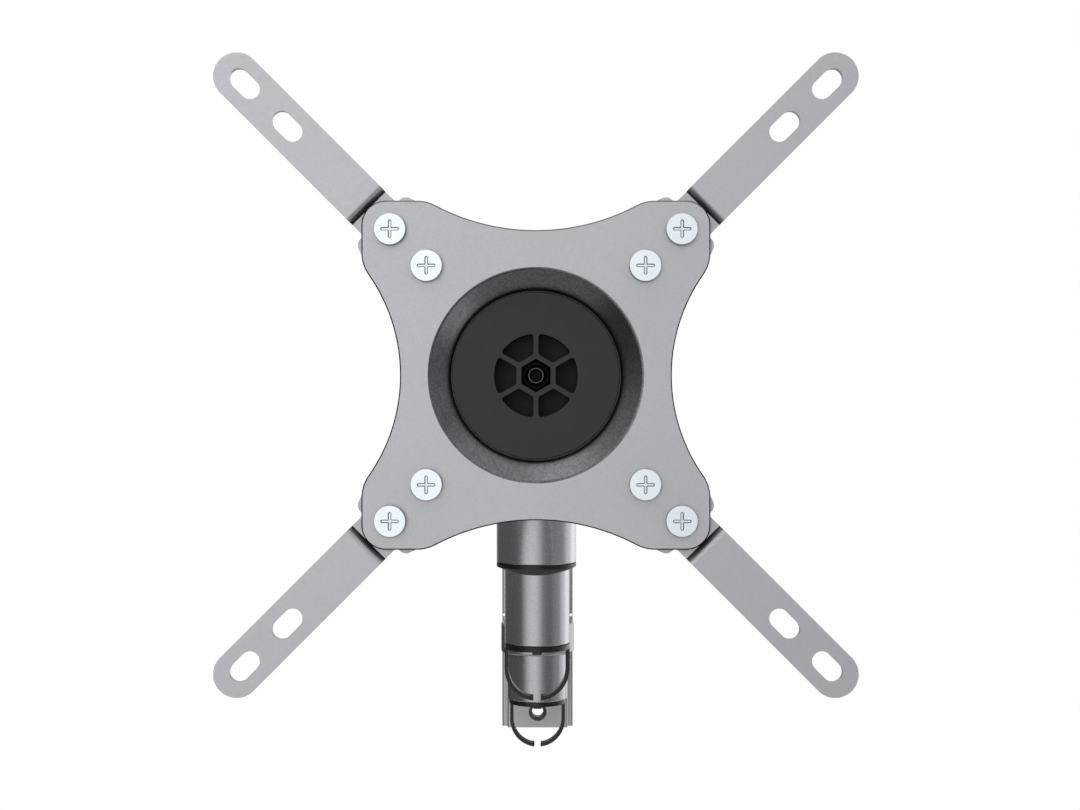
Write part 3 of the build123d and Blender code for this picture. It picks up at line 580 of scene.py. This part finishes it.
class MOUNT_OT_hardware(bpy.types.Operator):
    """Finish the screws, bolts, nuts and washers"""
    bl_idname = "mount.hardware"
    bl_label = "Finish hardware"

    def execute(self, context):
        sizes, colours = settings(context)
        zinc = plated_finish("zinc_plated_screws", colours.zinc, 0.16, 1.0, 0.002)
        dress(["inner_screws", "outer_screws"], zinc)
        # Painted shade: a darker, duller copy of the zinc on the heads' sides and in the cross
        # recesses
        shaded = plated_finish("zinc_sides_recesses_painted_shade", colours.zinc_shade, 0.5, 0.35, 0.002)
        for node in ("inner_screws", "outer_screws"):
            finish_faces(node, [shaded], choose_on_screw)
        steel = plated_finish("plated_steel", colours.steel, 0.32, 1.0, 0.002)
        dress(["inner_nuts", "outer_nuts", "tilt_bolt", "tilt_nut", "tilt_washers",
               "bracket_screws"]
              + [p + piece for p in PIVOTS for piece in ("_bolt", "_nut", "_washers")], steel)
        black = plated_finish("blackened_steel", colours.black_steel, 0.4, 0.0, 0.0015)
        black.node_tree.nodes["Principled BSDF"].inputs["Specular IOR Level"].default_value = 0.06
        dress(["hub_nut", "hub_bolt"], black)
        return {"FINISHED"}


# Modelled fasteners

def select_only(*pieces):
    """Nothing else is selected, and the first piece is the active one."""
    bpy.ops.object.select_all(action="DESELECT")
    for piece in pieces:
        piece.select_set(True)
    bpy.context.view_layer.objects.active = pieces[0]


def add_round(radius, height, low=0.0, sides=64):
    """A closed bar standing on the Z axis, from the height low upwards."""
    bpy.ops.object.select_all(action="DESELECT")
    bpy.ops.mesh.primitive_cylinder_add(vertices=sides, radius=radius, depth=height,
                                        location=(0, 0, low + height / 2))
    bar = bpy.context.active_object
    bpy.ops.object.transform_apply(location=True, rotation=True, scale=True)
    return bar


def narrow_end(piece, height, by, top=True):
    """Draws the end ring of a bar out by a height and in to a share of its width."""
    select_only(piece)
    bpy.ops.object.mode_set(mode="EDIT")
    bpy.ops.mesh.select_mode(type="FACE")
    bpy.ops.mesh.select_all(action="DESELECT")
    bpy.ops.object.mode_set(mode="OBJECT")
    for face in piece.data.polygons:
        face.select = face.normal.z > 0.9 if top else face.normal.z < -0.9
    bpy.ops.object.mode_set(mode="EDIT")
    bpy.ops.mesh.extrude_region_move(
        TRANSFORM_OT_translate={"value": (0, 0, height if top else -height)})
    bpy.ops.transform.resize(value=(by, by, 1))
    bpy.ops.object.mode_set(mode="OBJECT")


def combine(piece, tool, operation):
    """Cuts, joins or trims a piece by a tool shape, which is then used up."""
    select_only(piece)
    change = piece.modifiers.new(operation.lower(), "BOOLEAN")
    change.operation = operation
    change.solver = "EXACT"
    change.object = tool
    bpy.ops.object.modifier_apply(modifier=change.name)
    bpy.data.objects.remove(tool, do_unlink=True)
    return piece


def add_hexagon(flats, height, low, both_ends):
    """A hexagon bar with turned, chamfered corners at its top or at both ends."""
    corner = flats / math.sqrt(3)
    blank = add_round(corner, height, low, 6)
    cut = flats * CHAMFER_SHARE
    start = low + cut if both_ends else low - cut
    turned = add_round(corner * 1.002, low + height - cut - start, start)
    narrow_end(turned, cut, flats * CHAMFER_FACE_SHARE / corner)
    if both_ends:
        narrow_end(turned, cut, flats * CHAMFER_FACE_SHARE / corner, top=False)
    return combine(blank, turned, "INTERSECT")


def add_ridge(radius, pitch, turns, low):
    """The raised ridge of a thread, wound round the Z axis and closed at its ends."""
    bpy.ops.object.select_all(action="DESELECT")
    bpy.ops.mesh.primitive_circle_add(vertices=3, radius=pitch * RIDGE_SHARE, location=(0, 0, 0))
    ridge = bpy.context.active_object
    bpy.ops.transform.rotate(value=-math.pi / 2, orient_axis="Z", center_override=(0, 0, 0))
    bpy.ops.transform.rotate(value=math.pi / 2, orient_axis="X", center_override=(0, 0, 0))
    bpy.ops.transform.translate(value=(radius, 0, low))
    bpy.ops.object.transform_apply(location=True, rotation=True, scale=True)
    wind = ridge.modifiers.new("wind", "SCREW")
    wind.axis = "Z"
    wind.screw_offset = pitch
    wind.iterations = turns
    wind.steps = 32
    wind.render_steps = 32
    wind.use_smooth_shade = False
    bpy.ops.object.modifier_apply(modifier=wind.name)
    bpy.ops.object.mode_set(mode="EDIT")
    bpy.ops.mesh.select_all(action="SELECT")
    bpy.ops.mesh.fill_holes(sides=3)
    bpy.ops.mesh.select_all(action="SELECT")
    bpy.ops.mesh.normals_make_consistent(inside=False)
    bpy.ops.object.mode_set(mode="OBJECT")
    return ridge


def add_thread(rod, diameter, pitch, turns, top):
    """Winds a thread round a rod, so that its ridge ends under the rod's chamfered end."""
    radius = diameter / 2 - pitch * RIDGE_SHARE
    ridge = add_ridge(radius, pitch, turns, top - pitch * (turns + RIDGE_SHARE))
    select_only(rod, ridge)
    bpy.ops.object.join()
    return rod


def stand(piece, direction, place):
    """Turns a piece from the Z axis to a direction and sets it at its place."""
    turn = Vector((0, 0, 1)).rotation_difference(Vector(direction)).to_matrix().to_4x4()
    turn.translation = place
    piece.matrix_world = turn
    select_only(piece)
    bpy.ops.object.transform_apply(location=True, rotation=True, scale=True)
    return piece


def set_out(pattern, direction, places):
    """Copies a piece to each place, joins the copies and takes the pattern away."""
    copies = []
    for place in places:
        select_only(pattern)
        bpy.ops.object.duplicate(linked=False)
        copies.append(stand(bpy.context.active_object, direction, place))
    bpy.data.objects.remove(pattern, do_unlink=True)
    select_only(*copies)
    bpy.ops.object.join()
    return copies[0]


def finish_piece(piece, name, material, body, replaced):
    """Names, paints and places a modelled piece in the frame."""
    select_only(piece)
    bpy.ops.object.shade_smooth_by_angle(angle=math.radians(35))
    piece.name = name
    piece.data.materials.clear()
    piece.data.materials.append(material)
    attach(piece, body)
    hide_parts(replaced)
    return piece


def make_flange_nut(height):
    """A chamfered hexagon on a sloping round flange, bored for a plate screw."""
    nut = add_hexagon(NUT_FLATS, height, 0.0, both_ends=False)
    flange = add_round(NUT_FLANGE_R, NUT_FLANGE * 0.5)
    narrow_end(flange, NUT_FLANGE * 0.5, NUT_FLANGE_SLOPE)
    combine(nut, flange, "UNION")
    return combine(nut, add_round(NUT_BORE_R, height * 2, -height * 0.5), "DIFFERENCE")


def square_places(node, edge):
    """The four places of a node's pieces on their square, at its nearest depth."""
    low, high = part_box(node)
    half = (high.x - low.x) / 2 - edge
    return [Vector((x * half, low.y, FACE_Z + z * half)) for x in (1, -1) for z in (1, -1)]


class MOUNT_OT_plate_nuts(bpy.types.Operator):
    """Model the chamfered flange nuts behind the extension arms"""
    bl_idname = "mount.plate_nuts"
    bl_label = "Model plate nuts"

    def execute(self, context):
        steel = bpy.data.materials["plated_steel"]
        for node in ("inner_nuts", "outer_nuts"):
            low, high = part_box(node)
            nuts = set_out(make_flange_nut(high.y - low.y), (0, 1, 0),
                           square_places(node, NUT_FLANGE_R))
            finish_piece(nuts, node + "_chamfered", steel, "front_face", node)
        return {"FINISHED"}


class MOUNT_OT_hub_hardware(bpy.types.Operator):
    """Model the hub's threaded bolt with its cupped end, and its countersunk nut"""
    bl_idname = "mount.hub_hardware"
    bl_label = "Model hub hardware"

    def execute(self, context):
        colours = settings(context)[1]
        black = bpy.data.materials["blackened_steel"]
        low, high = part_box("hub_bolt")
        length = high.y - low.y
        centre = (low + high) / 2
        bolt = add_hexagon(HUB_FLATS, HUB_HEAD, length - HUB_HEAD, both_ends=True)
        core = HUB_BOLT_R - M6_PITCH * 0.3
        shank = add_round(core, length - HUB_HEAD, HUB_END)
        narrow_end(shank, HUB_END, HUB_END_SHARE, top=False)
        combine(bolt, shank, "UNION")
        cup = add_round(core * HUB_END_SHARE - HUB_RIM, HUB_CUP * 2, -HUB_CUP)
        combine(bolt, cup, "DIFFERENCE")
        add_thread(bolt, HUB_BOLT_R * 2, M6_PITCH, M6_TURNS,
                   HUB_END + M6_PITCH * (M6_TURNS + 1.5))
        stand(bolt, (0, 1, 0), (centre.x, low.y, centre.z))
        finish_piece(bolt, "hub_bolt_cupped", black, "tilt_head", "hub_bolt")
        # Painted highlight: a lighter steel on the rim of the bolt's cupped end
        bolt.data.materials.append(
            plated_finish("rim_painted_highlight_steel", colours.rim_highlight, 0.4, 0.6, 0.0015))
        for face in bolt.data.polygons:
            if face.center.y < low.y + 0.02 * MM:
                face.material_index = 1
        low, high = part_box("hub_nut")
        height = high.y - low.y
        nut = add_hexagon(HUB_FLATS, height, 0.0, both_ends=True)
        combine(nut, add_round(HUB_BORE_R, height * 2, -height / 2), "DIFFERENCE")
        sink = add_round(HUB_SINK_R, height / 2, -height / 2)
        narrow_end(sink, HUB_SINK_R - HUB_BORE_R, HUB_BORE_R / HUB_SINK_R)
        combine(nut, sink, "DIFFERENCE")
        stand(nut, (0, 1, 0), (centre.x, low.y, centre.z))
        finish_piece(nut, "hub_nut_countersunk", black, "tilt_head", "hub_nut")
        return {"FINISHED"}


class MOUNT_OT_tilt_hardware(bpy.types.Operator):
    """Model the tilt joint's chamfered bolt with its thread, and its nut"""
    bl_idname = "mount.tilt_hardware"
    bl_label = "Model tilt hardware"

    def execute(self, context):
        steel = bpy.data.materials["plated_steel"]
        low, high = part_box("tilt_bolt")
        length = high.x - low.x
        centre = (low + high) / 2
        bolt = add_hexagon(TILT_FLATS, TILT_HEAD, 0.0, both_ends=True)
        shank = add_round(TILT_BOLT_R, length - M8_PITCH - TILT_HEAD / 2, TILT_HEAD / 2)
        narrow_end(shank, M8_PITCH * 0.5, 0.88)
        combine(bolt, shank, "UNION")
        end = add_round(TILT_BOLT_R - M8_PITCH * 0.6, M8_PITCH * 2, length - M8_PITCH * 2.4)
        narrow_end(end, M8_PITCH * 0.4, 0.8)
        combine(bolt, end, "UNION")
        add_thread(bolt, TILT_BOLT_R * 2, M8_PITCH, 1, length - M8_PITCH * 0.3)
        stand(bolt, (1, 0, 0), (low.x, centre.y, centre.z))
        finish_piece(bolt, "tilt_bolt_threaded", steel, "tilt_head", "tilt_bolt")
        low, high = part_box("tilt_nut")
        height = high.x - low.x
        nut = add_hexagon(TILT_FLATS, height, 0.0, both_ends=True)
        combine(nut, add_round(TILT_BOLT_R * 1.0125, height * 2, -height * 0.5), "DIFFERENCE")
        stand(nut, (1, 0, 0), (low.x, centre.y, centre.z))
        finish_piece(nut, "tilt_nut_chamfered", steel, "tilt_head", "tilt_nut")
        return {"FINISHED"}


# Stage

def face_point(lamp, target):
    """Turns a lamp or the camera towards a point."""
    lamp.rotation_euler = (target - lamp.location).to_track_quat("-Z", "Y").to_euler()


def add_lamp(name, place, target, width, height, power):
    """A rectangular soft box."""
    data = bpy.data.lights.new(name, "AREA")
    data.shape = "RECTANGLE"
    data.size = width
    data.size_y = height
    data.energy = power
    lamp = bpy.data.objects.new(name, data)
    bpy.context.scene.collection.objects.link(lamp)
    lamp.location = place
    face_point(lamp, target)
    return lamp


def seen_white(tree):
    """1 for camera, mirror and glass rays, which see the pale background as white."""
    path = add_node(tree, "ShaderNodeLightPath", "Ray kind")
    total = path.outputs["Is Camera Ray"]
    for kind in ("Is Glossy Ray", "Is Transmission Ray"):
        both = add_node(tree, "ShaderNodeMath", kind, operation="MAXIMUM")
        tree.links.new(total, both.inputs[0])
        tree.links.new(path.outputs[kind], both.inputs[1])
        total = both.outputs["Value"]
    return path, total


def make_floor(context, sizes):
    """The plain pale floor under the mount."""
    bpy.ops.object.select_all(action="DESELECT")
    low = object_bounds()[0]
    bpy.ops.mesh.primitive_plane_add(size=sizes.floor_size,
                                     location=(0, 0, low.z - sizes.floor_drop))
    floor = context.active_object
    floor.name = "floor"
    bpy.ops.object.transform_apply(location=True, rotation=True, scale=True)
    material = bpy.data.materials.new("pale_floor")
    material.use_nodes = True
    shader = material.node_tree.nodes["Principled BSDF"]
    shader.inputs["Base Color"].default_value = (FLOOR_GREY, FLOOR_GREY, FLOOR_GREY, 1)
    shader.inputs["Roughness"].default_value = 0.9
    floor.data.materials.append(material)
    floor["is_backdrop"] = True


def soft_patch(tree, direction, turn, rise, reach, strength, label):
    """A soft bright patch of the surroundings, so many degrees right of the front and up."""
    side, up = math.radians(turn), math.radians(rise)
    axis = (math.sin(side) * math.cos(up), -math.cos(side) * math.cos(up), math.sin(up))
    near = add_node(tree, "ShaderNodeVectorMath", label, operation="DOT_PRODUCT")
    near.inputs[1].default_value = axis
    tree.links.new(direction, near.inputs[0])
    glow = add_node(tree, "ShaderNodeMapRange", label, interpolation_type="SMOOTHSTEP")
    glow.inputs["From Min"].default_value = math.cos(math.radians(reach))
    glow.inputs["From Max"].default_value = math.cos(math.radians(reach * 0.45))
    glow.inputs["To Max"].default_value = strength
    tree.links.new(near.outputs["Value"], glow.inputs["Value"])
    return glow.outputs["Result"]


PATCHES = (
    ("Left front softbox", -18, 0, 40, 0.79),
    ("Left front core", -18, 0, 25, 0.20),
    ("Front fill", 0, 0, 42, 0.25),
    ("Right front strip", 50, 0, 22, 0.09),
    ("Right side box", 80, 0, 28, 0.28),
    ("Right rear softbox", 125, 0, 42, 0.57),
    ("Right rear core", 115, 0, 30, 0.51),
    ("Rear edge box", 140, 0, 30, 0.90),
    ("Low right box", 76, -42, 28, 1.20),
    ("High right box", 60, 55, 28, 0.38),
    ("Overhead box", -56, 73, 24, 1.10),
)


def make_world(context):
    """Dim surroundings with soft patches of light for the object, white to the eye."""
    world = bpy.data.worlds.new("studio")
    context.scene.world = world
    world.use_nodes = True
    tree = world.node_tree
    room = tree.nodes["Background"]
    place = add_node(tree, "ShaderNodeTexCoord", "Direction")
    direction = place.outputs["Generated"]
    parts = add_node(tree, "ShaderNodeSeparateXYZ", "Across, away and up")
    tree.links.new(direction, parts.inputs["Vector"])
    rise = add_node(tree, "ShaderNodeMapRange", "Ceiling brighter")
    rise.inputs["From Min"].default_value = ROOM_FROM
    rise.inputs["To Min"].default_value, rise.inputs["To Max"].default_value = ROOM_LEVELS
    tree.links.new(parts.outputs["Z"], rise.inputs["Value"])
    level = rise.outputs["Result"]
    for label, turn, up, reach, strength in PATCHES:
        both = add_node(tree, "ShaderNodeMath", "Room and " + label.lower(), operation="ADD")
        tree.links.new(level, both.inputs[0])
        tree.links.new(soft_patch(tree, direction, turn, up, reach, strength, label),
                       both.inputs[1])
        level = both.outputs["Value"]
    tree.links.new(level, room.inputs["Strength"])
    room.inputs["Color"].default_value = (1, 1, 1, 1)
    white = add_node(tree, "ShaderNodeBackground", "White background")
    white.inputs["Color"].default_value = (1, 1, 1, 1)
    path, total = seen_white(tree)
    away = add_node(tree, "ShaderNodeMapRange", "Straight behind")
    away.inputs["From Min"].default_value, away.inputs["From Max"].default_value = STRAIGHT_BEHIND
    tree.links.new(parts.outputs["Y"], away.inputs["Value"])
    behind = multiply(tree, total, away.outputs["Result"], "Seen behind the mount")
    eye = add_node(tree, "ShaderNodeMath", "Or by the camera", operation="MAXIMUM")
    tree.links.new(path.outputs["Is Camera Ray"], eye.inputs[0])
    tree.links.new(behind, eye.inputs[1])
    mix = add_node(tree, "ShaderNodeMixShader", "Room or background")
    tree.links.new(eye.outputs["Value"], mix.inputs["Fac"])
    tree.links.new(room.outputs["Background"], mix.inputs[1])
    tree.links.new(white.outputs["Background"], mix.inputs[2])
    tree.links.new(mix.outputs["Shader"], tree.nodes["World Output"].inputs["Surface"])


def make_lamps():
    """One large soft box at the upper left front."""
    middle = Vector((0, -0.25, FACE_Z - 0.06))
    add_lamp("left_front_box", middle + Vector(LAMP_FROM), middle,
             LAMP_SIDE, LAMP_SIDE, LAMP_POWER)


def make_camera(context, sizes):
    """The camera looks straight at the wall from in front of the plate."""
    data = bpy.data.cameras.new("camera")
    data.sensor_width = 36.0
    data.lens = sizes.camera_lens
    camera = bpy.data.objects.new("camera", data)
    context.scene.collection.objects.link(camera)
    camera.location = (sizes.camera_side, FACE_Y - sizes.camera_distance,
                       FACE_Z - sizes.camera_drop)
    camera.rotation_euler = (math.pi / 2, 0, 0)
    context.scene.camera = camera


class MOUNT_OT_stage(bpy.types.Operator):
    """Set up the floor, the surroundings, the lamps and the camera"""
    bl_idname = "mount.stage"
    bl_label = "Set up stage"

    def execute(self, context):
        sizes = settings(context)[0]
        context.scene.view_settings.view_transform = "Standard"
        make_floor(context, sizes)
        make_world(context)
        make_lamps()
        make_camera(context, sizes)
        return {"FINISHED"}


STEPS = (MOUNT_OT_sheet_metal, MOUNT_OT_castings, MOUNT_OT_profile, MOUNT_OT_plastics,
         MOUNT_OT_hardware, MOUNT_OT_plate_nuts, MOUNT_OT_hub_hardware,
         MOUNT_OT_tilt_hardware, MOUNT_OT_stage)


class MOUNT_PT_panel(bpy.types.Panel):
    """The steps that dress the mount, in order"""
    bl_idname = "MOUNT_PT_panel"
    bl_label = "Display mount"
    bl_space_type = "VIEW_3D"
    bl_region_type = "UI"
    bl_category = "Mount"

    def draw(self, context):
        for step in STEPS:
            self.layout.operator(step.bl_idname)
        for group in settings(context):
            box = self.layout.box()
            for name in group.bl_rna.properties.keys():
                if name not in ("rna_type", "name"):
                    box.prop(group, name)


CLASSES = (MountSizes, MountColours) + STEPS + (MOUNT_PT_panel,)


def register():
    for cls in CLASSES:
        bpy.utils.register_class(cls)
    bpy.types.Scene.mount_sizes = bpy.props.PointerProperty(type=MountSizes)
    bpy.types.Scene.mount_colours = bpy.props.PointerProperty(type=MountColours)


def unregister():
    del bpy.types.Scene.mount_colours
    del bpy.types.Scene.mount_sizes
    for cls in reversed(CLASSES):
        bpy.utils.unregister_class(cls)


def main():
    register()
    bpy.ops.mount.sheet_metal()
    bpy.ops.mount.castings()
    bpy.ops.mount.profile()
    bpy.ops.mount.plastics()
    bpy.ops.mount.hardware()
    bpy.ops.mount.plate_nuts()
    bpy.ops.mount.hub_hardware()
    bpy.ops.mount.tilt_hardware()
    bpy.ops.mount.stage()


if __name__ == "__main__":
    main()
